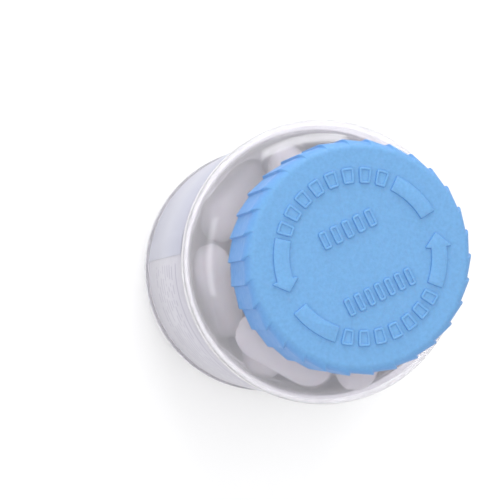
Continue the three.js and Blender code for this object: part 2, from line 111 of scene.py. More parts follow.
LINER_R = 18.5
DECK_TOP_Z = level("spring_ring", False) - FIT
INNER_CAP_R = 19.8
INNER_BORE_R = 18.9
INNER_THREAD_R = 17.8
CAP_TURNS = 1.2
CAP_THREAD_WIDTHS = (1.5, 0.6)
CAP_THREAD_Z = BOTTLE_THREAD_Z - 1.5   # tight cap: its thread bears on the bottle's from below

SPRING_IN_R = 9
SPRING_OUT_R = 13.5
SPRING_T = 0.7
LEAVES = 6
LEAF_IN_R = 9.6
LEAF_OUT_R = 12.9
LEAF_T = 0.6
LEAF_SPAN = 44           # degrees
LEAF_CLIMB = 0.85        # share of a leaf's length over which it climbs

RELIEF_H = 0.35          # raised arrows and marks
CAP_TOP_Z = level("outer_cap", True) - RELIEF_H
SKIRT_BOTTOM_Z = level("outer_cap", False)
TOP_EDGE_H = 2.4
EDGE_Z = CAP_TOP_Z - TOP_EDGE_H
UNDERSIDE_Z = level("spring_ring", True) + FIT
OUTER_BORE_R = 20.0
BEAD_R = 19.35
FOOT_R = 0.22            # rounding of the teeth's lower edge
TIP_R = 21.4             # tips of the ratchet-shaped grip teeth
TOP_FLAT_R = 19.3        # flat top face inside the rounded edge
TEETH = 30
TOOTH_DEPTH = 0.51
TOOTH_PHASE = 2.0        # degrees
TOOTH_LEAN = 2.8         # degrees a tooth leans over on the rounded edge
TOOTH_STEP = 0.42        # degrees from a tip back to the next valley
DRIVE_LUGS = 8
LUG_H = 1.25
LUG_IN_R = 15.0
LUG_OUT_R = 18.4
LUG_PLAY = 1.5           # degrees each lug is short of a quarter of the lug pitch

ARROW_IN_R = 13.07
ARROW_OUT_R = 16.07
ARROW_BARB = 1.25
HEAD_OVERLAP = 0.5       # degrees the head's base reaches back over the shaft
ARROWS = [
    {"tail": (-141, -108), "marks": (-106, -24), "count": 7, "shaft": (-21, 7), "tip": 18},
    {"tail": (31, 65), "marks": (68, 167), "count": 8, "shaft": (168, 197), "tip": 206},
]
MIDDLE_ROWS = [
    {"count": 5, "centre": (-2.4, 4.9), "length": 11.6},
    {"count": 7, "centre": (3.4, -6.3), "length": 14.4},
]
ROW_TILT = 26.0          # degrees
MARK_START = 0.14        # where a mark starts and how long it is, as shares of its step
MARK_FILL = 0.72
MIDDLE_FILL = 0.7
MIDDLE_MARK_L = 3.4
MARK_FRAME = 0.42        # width of the raised frame round a mark's sunken middle

TABLET_L = 20.2
TABLET_W = 10.5
TABLET_T = 8.7
TABLET_BAND = 2.2        # height of the straight band round the tablet's edge
BAND_STEP = 0.07         # how far the band stands out past the crowns
BAND_ROUND_H = 0.12      # height of its rounded corners
CROWN_INSET = 0.985      # the crown stops just short of a point
CROWN_FALL = 1.3         # over 1, the crown falls away sooner towards the band

# ---- surroundings; the floor in millimetres, the lamps and camera in metres ----

FLOOR_Z = -0.05
FLOOR_FLAT_R = 2200
FLOOR_BEND_R = 1500
HORIZON_LIGHT = 0.46
ZENITH_LIGHT = 1.42
LAMP_REACH = 0.8
LAMP_TARGET = (0, 0, 0.07)
LAMPS = [   # name, direction and height in degrees, size, power
    ("upper_lamp", 90, 15, (0.6, 0.3), 3.8),
    ("left_lamp", 176, 25, (0.6, 0.2), 1.1),
]
CAMERA_AT = (-0.07338, -0.00934, 0.35155)
CAMERA_FORWARD = (0.1988, 0.0393, -0.9793)
CAMERA_UP = (0.0, 0.9992, 0.0401)
CAMERA_LENS = 109.6


# ---- outlines and meshes ----


def arc(cr, cz, rr, rz, a0, a1, steps):
    """Points on an elliptical arc between two angles in degrees."""
    angles = [math.radians(a0 + (a1 - a0) * i / steps) for i in range(steps + 1)]
    return [(cr + rr * math.cos(a), cz + rz * math.sin(a)) for a in angles]


def rounded(corners, steps=4):
    """An open outline with its corners rounded. A corner is (x, y) or (x, y, radius)."""
    out = []
    for i, corner in enumerate(corners):
        here = Vector(corner[:2])
        radius = corner[2] if len(corner) > 2 else 0
        if radius <= 0 or i in (0, len(corners) - 1):
            out.append(tuple(here))
            continue
        back = (Vector(corners[i - 1][:2]) - here).normalized()
        ahead = (Vector(corners[i + 1][:2]) - here).normalized()
        half = back.angle(ahead) / 2
        start = here + back * radius / math.tan(half)
        end = here + ahead * radius / math.tan(half)
        centre = here + (back + ahead).normalized() * radius / math.sin(half)
        a, b = start - centre, end - centre
        sweep = a.angle(b)
        for k in range(steps + 1):
            t = k / steps
            point = centre + (a * math.sin((1 - t) * sweep) + b * math.sin(t * sweep)) / math.sin(sweep)
            out.append(tuple(point))
    return out


def new_object(name, verts, faces, sharp=35):
    """A smooth-shaded mesh object from millimetre points, with its faces turned outwards."""
    mesh = bpy.data.meshes.new(name)
    mesh.from_pydata([tuple(c * MM for c in v) for v in verts], [], faces)
    bm = bmesh.new()
    bm.from_mesh(mesh)
    bmesh.ops.remove_doubles(bm, verts=bm.verts, dist=1e-7)
    bmesh.ops.dissolve_degenerate(bm, edges=bm.edges, dist=1e-8)
    bmesh.ops.recalc_face_normals(bm, faces=bm.faces)
    bm.to_mesh(mesh)
    bm.free()
    mesh.shade_smooth()
    mesh.set_sharp_from_angle(angle=math.radians(sharp))
    obj = bpy.data.objects.new(name, mesh)
    bpy.context.scene.collection.objects.link(obj)
    return obj


def skin(rings, loop=False):
    """Verts and faces of a surface through rings of equal length. A ring of one point is a pole.
    With loop, the last ring joins the first, which makes a solid ring."""
    verts, starts, faces = [], [], []
    for ring in rings:
        starts.append(len(verts))
        verts.extend(ring)
    pairs = list(zip(range(len(rings) - 1), range(1, len(rings))))
    if loop:
        pairs.append((len(rings) - 1, 0))
    for a, b in pairs:
        na, nb = len(rings[a]), len(rings[b])
        count = max(na, nb)
        for j in range(count):
            k = (j + 1) % count
            corner = [starts[a] + j % na, starts[a] + k % na, starts[b] + k % nb, starts[b] + j % nb]
            face = list(dict.fromkeys(corner))
            faces.append(face)
    return verts, faces


def capped(rings):
    """Verts and faces of a surface through rings, closed by a face at each end."""
    verts, faces = skin(rings)
    size = len(rings[0])
    faces.append(list(range(size)))
    faces.append(list(range(len(verts) - size, len(verts))))
    return verts, faces


def turned_rings(profile, columns, shape=None):
    """Rings of a turned solid. shape(angle, r, z) may move a point's radius."""
    angles = [2 * math.pi * j / columns for j in range(columns)]
    rings = []
    for r, z in profile:
        if r < 1e-6:
            rings.append([(0, 0, z)])
            continue
        radii = [shape(a, r, z) if shape else r for a in angles]
        rings.append([(q * math.cos(a), q * math.sin(a), z) for q, a in zip(radii, angles)])
    return rings


def merge(parts):
    """Several (verts, faces) meshes as one."""
    verts, faces = [], []
    for more_verts, more_faces in parts:
        base = len(verts)
        verts.extend(more_verts)
        faces.extend([[i + base for i in f] for f in more_faces])
    return verts, faces


def place(obj, body, slot, material, *nodes):
    """Give a piece its material, its body and the CAD nodes it stands for."""
    obj.data.materials.append(material)
    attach(obj, body)
    if nodes:
        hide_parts(*nodes)


def thread_height(angle, z, datum, first, turns, widths):
    """How far a thread stands up at a place, from 0 to 1. The thread starts at first turns from
    the height datum, and widths are its widths at the wall and at the crest."""
    wall_width, crest_width = widths
    best = 0.0
    turn = (angle / (2 * math.pi)) % 1.0
    for k in range(int(first), int(first + turns) + 2):
        at = turn + k
        along = (at - first) / turns
        if not 0 <= along <= 1:
            continue
        away = abs(z - datum - PITCH * at)
        slope = (wall_width - crest_width) / 2
        height = min(1.0, max(0.0, (wall_width / 2 - away) / slope))
        height = height * height * (3 - 2 * height)
        best = max(best, height * min(1.0, along / THREAD_FADE, (1 - along) / THREAD_FADE))
    return best


# ---- materials ----


class Nodes:
    """A short way to write a node tree."""

    def __init__(self, name):
        self.material = bpy.data.materials.new(name)
        self.material.use_nodes = True
        self.tree = self.material.node_tree
        self.shader = self.tree.nodes["Principled BSDF"]

    def add(self, kind, **settings):
        node = self.tree.nodes.new(kind)
        for key, value in settings.items():
            setattr(node, key, value)
        return node

    def link(self, source, target):
        self.tree.links.new(source, target)

    def value(self, operation, a, b=None):
        """A sum on one or two numbers or sockets."""
        node = self.add("ShaderNodeMath", operation=operation)
        for i, x in enumerate((a, b)):
            if x is None:
                continue
            if isinstance(x, (int, float)):
                node.inputs[i].default_value = x
            else:
                self.link(x, node.inputs[i])
        return node.outputs[0]

    def place(self):
        """The piece's own coordinates, in metres."""
        return self.add("ShaderNodeTexCoord").outputs["Object"]

    def noise(self, scale, detail=3.0, roughness=0.5):
        """Noise from 0 to 1; scale is in features per metre."""
        node = self.add("ShaderNodeTexNoise")
        node.inputs["Scale"].default_value = scale
        node.inputs["Detail"].default_value = detail
        node.inputs["Roughness"].default_value = roughness
        self.link(self.place(), node.inputs["Vector"])
        return node.outputs["Fac"]

    def mix(self, factor, a, b):
        """Colour a where the factor is 0 and b where it is 1."""
        node = self.add("ShaderNodeMix", data_type="RGBA")
        for socket, x in ((node.inputs[0], factor), (node.inputs[6], a), (node.inputs[7], b)):
            if isinstance(x, (int, float)):
                socket.default_value = x
            elif isinstance(x, tuple):
                socket.default_value = (*x, 1)
            else:
                self.link(x, socket)
        return node.outputs[2]

    def spread(self, x, low, high, to_low=0.0, to_high=1.0):
        """A value taken from one range to another, and held at its ends."""
        node = self.add("ShaderNodeMapRange")
        self.link(x, node.inputs[0])
        for i, v in enumerate((low, high, to_low, to_high)):
            node.inputs[i + 1].default_value = v
        return node.outputs[0]

    def bump(self, height, distance, strength=1.0, before=None):
        """A bump of a height map, distance metres high, on top of the bump before."""
        node = self.add("ShaderNodeBump")
        node.inputs["Strength"].default_value = strength
        node.inputs["Distance"].default_value = distance
        self.link(height, node.inputs["Height"])
        if before is not None:
            self.link(before, node.inputs["Normal"])
        return node.outputs["Normal"]

    def finish(self, color=None, roughness=None, normal=None, **fixed):
        """Join up the shader and set what is the same all over on its own sockets."""
        for name, x in (("Base Color", color), ("Roughness", roughness), ("Normal", normal)):
            if x is None:
                continue
            socket = self.shader.inputs[name]
            if isinstance(x, tuple):
                socket.default_value = (*x, 1)
            elif isinstance(x, (int, float)):
                socket.default_value = x
            else:
                self.link(x, socket)
        for name, x in fixed.items():
            self.shader.inputs[name.replace("_", " ")].default_value = x
        return self.material


def srgb(r, g, b):
    """A colour from 0-255 display values."""
    return tuple(((c / 255 + 0.055) / 1.055) ** 2.4 if c > 10 else c / 3294.6 for c in (r, g, b))


CAP_BLUE = srgb(107, 158, 206)
SIDE_PAINTED_SHADE = (0.68, 0.79, 0.95)   # painted shade: the cap's side is darker and bluer than its top
MOTTLE = 0.065
CLARITY = 0.84
HEEL_HAZE = 0.2                  # how much less clear the thick heel is


def blue_plastic(name, grain, lift):
    """Light blue moulded polypropylene, with painted shade: darker and bluer where it doesn't face up.
    grain is the height of its fine texture in metres, and lift brightens the top."""
    n = Nodes(name)
    mottle = n.noise(1700, 2, 0.6)
    cloud = n.noise(240, 3, 0.55)
    low = tuple(c * (1 - MOTTLE) * lift for c in CAP_BLUE)
    high = tuple(c * (1 + MOTTLE) * lift for c in CAP_BLUE)
    tone = n.value("ADD", n.value("MULTIPLY", mottle, 0.8), n.value("MULTIPLY", cloud, 0.2))
    patches = n.spread(tone, 0.3, 0.7)
    top = n.mix(patches, low, high)
    # Painted shade: surfaces that don't face up take the darker, bluer side colour instead of the top
    # colour.
    split = n.add("ShaderNodeSeparateXYZ")
    n.link(n.add("ShaderNodeTexCoord").outputs["Normal"], split.inputs[0])
    facing_up = n.spread(split.outputs[2], 0.25, 0.95)
    painted_shade_side = tuple(c * t for c, t in zip(CAP_BLUE, SIDE_PAINTED_SHADE))
    side = n.mix(patches, tuple(c * 0.93 for c in painted_shade_side), painted_shade_side)
    color = n.mix(facing_up, side, top)
    rough = n.spread(n.noise(900, 2, 0.6), 0.3, 0.7, 0.40, 0.52)
    fine = n.bump(n.noise(2600, 2, 0.6), grain, 0.6)
    normal = n.bump(n.noise(260, 2, 0.5), grain * 1.5, 0.5, fine)
    return n.finish(color, rough, normal, Subsurface_Weight=0.08, Subsurface_Scale=0.0015, IOR=1.49,
                    Specular_IOR_Level=0.25)


def clear_plastic():
    """Clear blown PET: a clean refracting wall with a faint uneven surface."""
    n = Nodes("clear_pet")
    wave = n.bump(n.noise(70, 2, 0.5), 0.00006, 0.25)
    split = n.add("ShaderNodeSeparateXYZ")
    n.link(n.place(), split.inputs[0])
    clarity = n.spread(split.outputs[2], 0.002, 0.010, CLARITY - HEEL_HAZE, CLARITY)
    n.link(clarity, n.shader.inputs["Transmission Weight"])
    rough = n.spread(n.noise(240, 3, 0.6), 0.35, 0.75, 0.07, 0.11)
    return n.finish(srgb(247, 245, 252), rough, wave, IOR=1.45)


def white_plastic(name, color, grain):
    """White moulded plastic; grain is the height of its fine texture in metres."""
    n = Nodes(name)
    tone = n.mix(n.spread(n.noise(180, 3, 0.6), 0.3, 0.7), tuple(c * 0.96 for c in color), color)
    rough = n.spread(n.noise(700, 2, 0.6), 0.3, 0.7, 0.38, 0.52)
    normal = n.bump(n.noise(1800, 2, 0.6), grain, 0.5)
    return n.finish(tone, rough, normal, Subsurface_Weight=0.1, Subsurface_Scale=0.001)


def foam():
    """Closed-cell foam."""
    n = Nodes("liner_foam")
    cells = n.add("ShaderNodeTexVoronoi")
    cells.inputs["Scale"].default_value = 1700
    n.link(n.place(), cells.inputs["Vector"])
    tone = n.mix(n.spread(n.noise(300), 0.3, 0.7), srgb(236, 232, 220), srgb(247, 245, 238))
    return n.finish(tone, 0.85, n.bump(cells.outputs["Distance"], 0.00008, 0.5))


def label_film():
    """White label film with faint generic ruled print: no lettering."""
    n = Nodes("label_film")
    split = n.add("ShaderNodeSeparateXYZ")
    n.link(n.place(), split.inputs[0])
    x, y, z = split.outputs
    turn = n.value("ARCTAN2", y, x)
    turn = n.value("MULTIPLY", turn, 180 / math.pi)
    past_seam = n.value("ADD", turn, 720 - LABEL_START - LABEL_LAP)
    turn = n.value("MODULO", past_seam, 360)
    height = n.value("DIVIDE", z, MM)

    def within(value, limits, soft):
        low, high = limits
        up = n.spread(value, low, low + soft)
        down = n.spread(value, high - soft, high, 1.0, 0.0)
        return n.value("MULTIPLY", up, down)

    row = n.value("DIVIDE", height, ROW_PITCH)
    line = within(n.value("FRACT", row), (0.18, 0.62), 0.1)
    words = n.add("ShaderNodeTexNoise", noise_dimensions="2D")
    words.inputs["Scale"].default_value = 1.0
    words.inputs["Detail"].default_value = 0.0
    at = n.add("ShaderNodeCombineXYZ")
    n.link(n.value("MULTIPLY", turn, 0.32), at.inputs[0])
    n.link(n.value("MULTIPLY", n.value("FLOOR", row), 7.3), at.inputs[1])
    n.link(at.outputs[0], words.inputs["Vector"])
    dashes = n.spread(words.outputs["Fac"], 0.40, 0.43)
    block = n.value("MULTIPLY", within(turn, ROWS_ROUND, 0.8), within(height, ROWS_UP, 0.2))
    rows = n.value("MULTIPLY", n.value("MULTIPLY", line, dashes), block)
    rule = n.value("MULTIPLY", within(turn, RULE_ROUND, 0.8), within(height, RULE_UP, 0.15))
    print_ink = n.value("MAXIMUM", rows, rule)
    # a darker, bluer zone of the film just before the seam
    tint = within(turn, TINT_ROUND, 1.0)
    band = n.value("MULTIPLY", within(height, BAND_UP, 0.4), within(turn, BAND_ROUND, 1.0))
    paper = n.mix(n.spread(n.noise(300, 3, 0.6), 0.3, 0.7), srgb(170, 168, 179), srgb(177, 175, 186))
    tinted = n.mix(n.value("MULTIPLY", tint, 0.85), paper, srgb(157, 159, 177))
    banded = n.mix(n.value("MULTIPLY", band, 0.55), tinted, srgb(136, 152, 180))
    inked = n.mix(n.value("MULTIPLY", print_ink, 0.5), banded, srgb(112, 102, 138))
    normal = n.bump(n.noise(1400, 2, 0.6), 0.00002, 0.5)
    normal = n.bump(n.noise(55, 2, 0.5), 0.00015, 0.3, normal)
    return n.finish(inked, 0.36, normal, Coat_Weight=0.25, Coat_Roughness=0.2)


def tablet_white():
    """Pressed powder under a thin matte film."""
    n = Nodes("tablet")
    speck = n.spread(n.noise(2400, 3, 0.7), 0.62, 0.74)
    body = n.mix(n.spread(n.noise(160, 3, 0.6), 0.3, 0.7), srgb(232, 229, 228), srgb(243, 241, 240))
    color = n.mix(n.value("MULTIPLY", speck, 0.4), body, srgb(214, 209, 204))
    normal = n.bump(n.noise(1500, 4, 0.65), 0.00006, 0.6)
    normal = n.bump(n.noise(330, 2, 0.5), 0.0001, 0.4, normal)
    return n.finish(color, 0.62, normal, Subsurface_Weight=0.12, Subsurface_Scale=0.0012)


def floor_white():
    """Plain pale floor with a very slight cloud."""
    n = Nodes("floor")
    tone = n.mix(n.spread(n.noise(9, 2, 0.5), 0.3, 0.7), (0.90, 0.90, 0.90), (0.93, 0.93, 0.93))
    return n.finish(tone, 0.85)


# ---- bottle ----


def bottle_profile():
    """The bottle's outside and inside outlines as (radius, height), from the middle of the base up
    and from the mouth down, without the thread."""
    outside = rounded([(0, PUSH_UP_H), *PUSH_UP_CURVE, (STAND_IN_R, 0, 0.8), (STAND_OUT_R, 0)], 6)
    outside += arc(STAND_OUT_R, HEEL_H, BODY_R - STAND_OUT_R, HEEL_H, -88, 0, 16)
    outside += rounded([(BODY_R, HEEL_H + 0.1), (BODY_R, PANEL_BOTTOM_Z - 1.0, 0.7),
                        (PANEL_R, PANEL_BOTTOM_Z, 0.7), (PANEL_R, 30), (PANEL_R, PANEL_TOP_Z, 0.8),
                        (BODY_R, PANEL_TOP_Z + 1.3, 0.8), (BODY_R, BULGE_Z - 0.2)], 6)
    outside += arc(DOME_CENTRE_R, BULGE_Z, BODY_R - DOME_CENTRE_R, DOME_H, 0, 86, 22)
    neck_low = DOME_TOP_Z + 0.7
    rows = [neck_low + (NECK_TOP_Z - 0.6 - neck_low) * i / 72 for i in range(73)]
    outside += [(NECK_R + 0.12, neck_low - 0.35)] + [(NECK_R, z) for z in rows]
    outside += rounded([(NECK_R, NECK_TOP_Z - 0.55), (NECK_R, NECK_TOP_Z, 0.45),
                        (BORE_R, NECK_TOP_Z, 0.3), (BORE_R, NECK_TOP_Z - 0.5)], 4)
    inner_r = BODY_R - WALL
    panel_in_r = PANEL_R - WALL
    inside = rounded([(BORE_R, 76), (BORE_R, DOME_TOP_Z + 0.4, 0.8), (BORE_R + 1.2, DOME_TOP_Z - WALL)], 4)
    inside += arc(DOME_CENTRE_R, BULGE_Z, inner_r - DOME_CENTRE_R, DOME_H - WALL, 86, 0, 20)
    inside += rounded([(inner_r, BULGE_Z - 0.2), (inner_r, PANEL_TOP_Z + 1.5, 0.8),
                       (panel_in_r, PANEL_TOP_Z + 0.3, 0.8), (panel_in_r, 30),
                       (panel_in_r, PANEL_BOTTOM_Z - 0.2, 0.7), (inner_r, PANEL_BOTTOM_Z - 1.1, 0.7),
                       (inner_r, HEEL_H + 0.1)], 6)
    inside += arc(STAND_OUT_R, HEEL_H, inner_r - STAND_OUT_R, HEEL_H - WALL, 0, -88, 14)
    base = [(r, z + WALL, rounding) for r, z, rounding in reversed(PUSH_UP_CURVE)]
    inside += rounded([(STAND_OUT_R, WALL), (STAND_IN_R, WALL, 0.8), *base, (0, PUSH_UP_H + WALL)], 6)
    return outside, inside


def make_bottle():
    """The blown bottle, with its thread outside and a slightly uneven wall inside."""
    outside, inside = bottle_profile()
    neck_low = DOME_TOP_Z + 0.6

    def shape_outside(angle, r, z):
        if neck_low < z < NECK_TOP_Z - 0.5 and r < NECK_R + 0.2:
            up = thread_height(angle, z, BOTTLE_THREAD_Z, 0, BOTTLE_TURNS, BOTTLE_THREAD_WIDTHS)
            return r + (THREAD_R - NECK_R) * up
        return r

    def shape_inside(angle, r, z):
        if r < BORE_R + 0.5 or r < STAND_OUT_R and z < 8:
            return r
        drift = noise.noise(Vector((math.cos(angle) * 1.7, math.sin(angle) * 1.7, z * 0.06)))
        return r - WALL_SET_IN - WALL_DRIFT * drift

    rings = turned_rings(outside, BOTTLE_COLUMNS, shape_outside)
    rings += turned_rings(inside, BOTTLE_COLUMNS, shape_inside)
    obj = new_object("bottle_shell", *skin(rings), sharp=50)
    place(obj, "bottle", "clear_pet", clear_plastic(), "bottle")


# ---- label ----


def make_label():
    """The label film, wrapped once round the panel and lapped over its own first end."""
    low, high = level("label", False), level("label", True)
    steps = 184
    lift_from, lift_to = LAP_RAMP
    rings = []
    for i in range(steps + 1):
        turn = (360 + LABEL_LAP) * i / steps
        lift = LAP_LIFT * min(1.0, max(0.0, (turn - lift_from) / (lift_to - lift_from)))
        angle = math.radians(LABEL_START + turn)
        section = []
        for r, z in ((0, low + 0.04), (0, high - 0.04), (0.04, high), (LABEL_T - 0.03, high),
                     (LABEL_T, high - 0.05), (LABEL_T, low + 0.05), (LABEL_T - 0.03, low), (0.04, low)):
            q = PANEL_R + FIT + lift + r
            section.append((q * math.cos(angle), q * math.sin(angle), z))
        rings.append(section)
    obj = new_object("wrap_label", *capped(rings))
    place(obj, "bottle", "label_film", label_film(), "label")


# ---- closure ----


def bent_block(angle0, angle1, r0, r1, z0, z1, edge=0.25, steps=6):
    """A block bent round the axis, with rounded edges. z0 and z1 may be functions of 0-1 along it."""
    low = z0 if callable(z0) else lambda t: z0
    high = z1 if callable(z1) else lambda t: z1
    rings = []
    stops = [0.0, 0.02] + [i / steps for i in range(1, steps)] + [0.98, 1.0]
    for t in stops:
        shy = edge * 0.6 if t in (0.0, 1.0) else 0.0
        a = math.radians(angle0 + (angle1 - angle0) * t)
        za, zb = low(t) + shy, high(t) - shy
        ra, rb = r0 + shy, r1 - shy
        corners = [(ra, za + edge), (ra, zb - edge), (ra + edge * 0.3, zb - edge * 0.3), (ra + edge, zb),
                   (rb - edge, zb), (rb - edge * 0.3, zb - edge * 0.3), (rb, zb - edge), (rb, za + edge),
                   (rb - edge, za), (ra + edge, za)]
        rings.append([(r * math.cos(a), r * math.sin(a), z) for r, z in corners])
    return capped(rings)


def drive_lugs(low, high, phase):
    """The ring of lugs that lets one cap drive the other."""
    pitch = 360 / DRIVE_LUGS
    half = pitch / 4 - LUG_PLAY
    return [bent_block(phase + pitch * i - half, phase + pitch * i + half, LUG_IN_R, LUG_OUT_R, low, high)
            for i in range(DRIVE_LUGS)]


def make_liner():
    """The foam sealing disc."""
    low, high = level("liner", False), level("liner", True)
    profile = rounded([(0, low), (LINER_R, low, 0.2), (LINER_R, high, 0.2), (0, high)], 3)
    obj = new_object("liner_disc", *skin(turned_rings(profile, 96)))
    place(obj, "liner", "foam", foam(), "liner")


def make_inner_cap(material):
    """The threaded inner cap, with drive lugs on its deck."""
    bottom = level("inner_cap", False)
    under = level("liner", True) + FIT
    first = (bottom + 0.9 - CAP_THREAD_Z) / PITCH
    rows = [bottom + 0.3 + (under - 0.5 - bottom - 0.3) * i / 60 for i in range(61)]
    profile = rounded([(0, DECK_TOP_Z), (INNER_CAP_R, DECK_TOP_Z, 0.8), (INNER_CAP_R, bottom, 0.2),
                       (INNER_BORE_R, bottom, 0.2), (INNER_BORE_R, bottom + 0.28)], 4)
    profile += [(INNER_BORE_R, z) for z in rows]
    profile += rounded([(INNER_BORE_R, under - 0.45), (INNER_BORE_R, under, 0.3), (0, under)], 4)

    def shape(angle, r, z):
        if abs(r - INNER_BORE_R) < 0.01 and bottom + 0.2 < z < under - 0.4:
            up = thread_height(angle, z, CAP_THREAD_Z, first, CAP_TURNS, CAP_THREAD_WIDTHS)
            return r - (INNER_BORE_R - INNER_THREAD_R) * up
        return r

    shell = skin(turned_rings(profile, 150, shape))
    lugs = drive_lugs(DECK_TOP_Z - JOIN_DEPTH, DECK_TOP_Z + LUG_H, 0)
    obj = new_object("inner_cap_shell", *merge([shell, *lugs]))
    place(obj, "inner_cap", "white_shell", material, "inner_cap")


def make_spring_ring(material):
    """The spring ring, built at rest, whose leaves climb to the outer cap; they flatten when it is pushed
    down.
    """
    low, high = level("spring_ring", False), level("spring_ring", True)
    ring_top = low + SPRING_T
    profile = rounded([(SPRING_IN_R, low + 0.35), (SPRING_IN_R, low, 0.15), (SPRING_OUT_R, low, 0.15),
                       (SPRING_OUT_R, ring_top, 0.15), (SPRING_IN_R, ring_top, 0.15),
                       (SPRING_IN_R, low + 0.36)], 3)
    ring = skin(turned_rings(profile, 120), loop=True)

    def top(t):
        s = min(1.0, t / LEAF_CLIMB)
        return ring_top + (high - ring_top) * s * s * (3 - 2 * s)

    leaves = []
    for i in range(LEAVES):
        start = i * 360 / LEAVES
        leaves.append(bent_block(start, start + LEAF_SPAN, LEAF_IN_R, LEAF_OUT_R,
                                 lambda t: top(t) - LEAF_T, top, 0.12, 14))
    obj = new_object("leaf_spring_ring", *merge([ring, *leaves]))
    place(obj, "spring_ring", "white_shell", material, "spring_ring")
    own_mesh(obj)


# ---- outer cap ----


def tooth_outline():
    """One tooth as (angle in degrees, drop below the tip circle) pairs: a flat back that slopes up
    to a slightly rounded tip, then a step straight back."""
    pitch = 360 / TEETH
    tip_angle = math.radians(pitch - TOOTH_STEP)
    valley = Vector((TIP_R - TOOTH_DEPTH, 0))
    tip = Vector((TIP_R * math.cos(tip_angle), TIP_R * math.sin(tip_angle)))
    turn = Matrix.Rotation(math.radians(pitch), 2)
    next_valley, next_tip = turn @ valley, turn @ tip
    back = [valley.lerp(tip, t) for t in (0.08, 0.16, 0.3, 0.45, 0.6, 0.75, 0.88, 0.95)]
    corners = [*back, (*tip, 0.11), (*next_valley, 0.09), next_valley.lerp(next_tip, 0.07)]
    points = rounded([tuple(c) for c in corners], 4)[:-1]
    return [(math.degrees(math.atan2(y, x)), TIP_R - math.hypot(x, y)) for x, y in points]


def make_outer_cap(material):
    """The toothed outer cap, with its retaining bead and its lugs."""
    outline = tooth_outline()
    pitch = 360 / TEETH
    columns = [(tooth * pitch + a, drop) for tooth in range(TEETH) for a, drop in outline]

    def ring(r, z, lean, toothed):
        """The cap's outline at a height. lean goes from 0 on the skirt to 1 at the top face."""
        out = []
        for a, drop in columns:
            q = r - drop * (1 - lean ** 2.2) if toothed else r
            a = math.radians(a + TOOTH_PHASE - (TOOTH_LEAN * lean if toothed else 0))
            out.append((q * math.cos(a), q * math.sin(a), z))
        return out

    bottom = SKIRT_BOTTOM_Z
    inside = rounded([(0, UNDERSIDE_Z), (OUTER_BORE_R, UNDERSIDE_Z, 0.8), (OUTER_BORE_R, bottom + 1.1, 0.3),
                      (BEAD_R, bottom + 0.65, 0.2), (BEAD_R, bottom + 0.4, 0.2),
                      (BEAD_R + 0.45, bottom)], 4)
    rings = [[(0, 0, z)] if r < 1e-6 else ring(r, z, 0, False) for r, z in inside]
    for back, up in ((1, 0), (0.3, 0.3), (0, 1)):
        rings.append(ring(TIP_R - FOOT_R * back, bottom + FOOT_R * up, 0, True))
    rings += [ring(TIP_R, z, 0, True) for z in np.linspace(bottom + 2, EDGE_Z, 6)]
    steps = 18
    for i in range(1, steps + 1):
        t = i / steps * math.pi / 2
        lean = math.sin(t) ** 1.15
        r = TOP_FLAT_R + (TIP_R - TOP_FLAT_R) * math.cos(t) ** 1.12
        rings.append(ring(r, EDGE_Z + TOP_EDGE_H * math.sin(t) ** 1.12, lean, True))
    rings += [ring(r, CAP_TOP_Z, 1, False) for r in (19.1, 18.6, 14, 9, 4)] + [[(0, 0, CAP_TOP_Z)]]
    lugs = drive_lugs(UNDERSIDE_Z - LUG_H, UNDERSIDE_Z + JOIN_DEPTH, 180 / DRIVE_LUGS)
    obj = new_object("outer_cap_shell", *merge([skin(rings), *lugs]), sharp=38)
    place(obj, "outer_cap", "blue_cap", material, "outer_cap")


def inward(outline, distance):
    """A counter-clockwise closed outline moved inwards."""
    count = len(outline)
    out = []
    for i in range(count):
        before, here, after = (Vector(outline[(i + k) % count]) for k in (-1, 0, 1))
        a = (here - before).normalized()
        b = (after - here).normalized()
        normal = Vector((-a.y - b.y, a.x + b.x))
        length = max(normal.length, 1e-6)
        reach = distance / max(0.35, length / 2)
        out.append(tuple(here + normal / length * reach))
    return out


def round_corners(outline, radius, steps=3):
    """A closed outline with every sharp corner rounded."""
    count = len(outline)
    out = []
    for i in range(count):
        before, here, after = (Vector(outline[(i + k) % count]) for k in (-1, 0, 1))
        bend = (here - before).angle(after - here)
        if bend < math.radians(25):
            out.append(tuple(here))
            continue
        room = min((here - before).length, (after - here).length) * 0.45
        fit = min(radius, room / math.tan(bend / 2))
        corner = rounded([tuple(before), (*here, fit), tuple(after)], steps)
        out.extend(corner[1:-1])
    return out


def plate(outline, radius, frame_width=None):
    """A raised shape on the cap's top with softened edges, and with a sunken middle inside a
    frame if a frame width is given."""
    levels = [(-JOIN_DEPTH, 0.0), (0.03, 0.0), (RELIEF_H - 0.13, 0.05), (RELIEF_H - 0.04, 0.1),
              (RELIEF_H, 0.19)]
    if frame_width:
        levels += [(RELIEF_H, frame_width), (RELIEF_H - 0.05, frame_width + 0.06),
                   (RELIEF_H - 0.2, frame_width + 0.12)]
    rings = []
    for height, inset in levels:
        ring = round_corners(inward(outline, inset), max(radius - inset, 0.04))
        rings.append([(x, y, CAP_TOP_Z + height) for x, y in ring])
    return capped(rings)


def polar(r, angle):
    """The point at a radius and an angle in degrees."""
    return (r * math.cos(math.radians(angle)), r * math.sin(math.radians(angle)))


def bow(r, a0, a1, step=2.0):
    """Points along a circle, from angle a0 to a1 in degrees."""
    count = max(2, int(abs(a1 - a0) / step) + 1)
    return [polar(r, a0 + (a1 - a0) * i / (count - 1)) for i in range(count)]


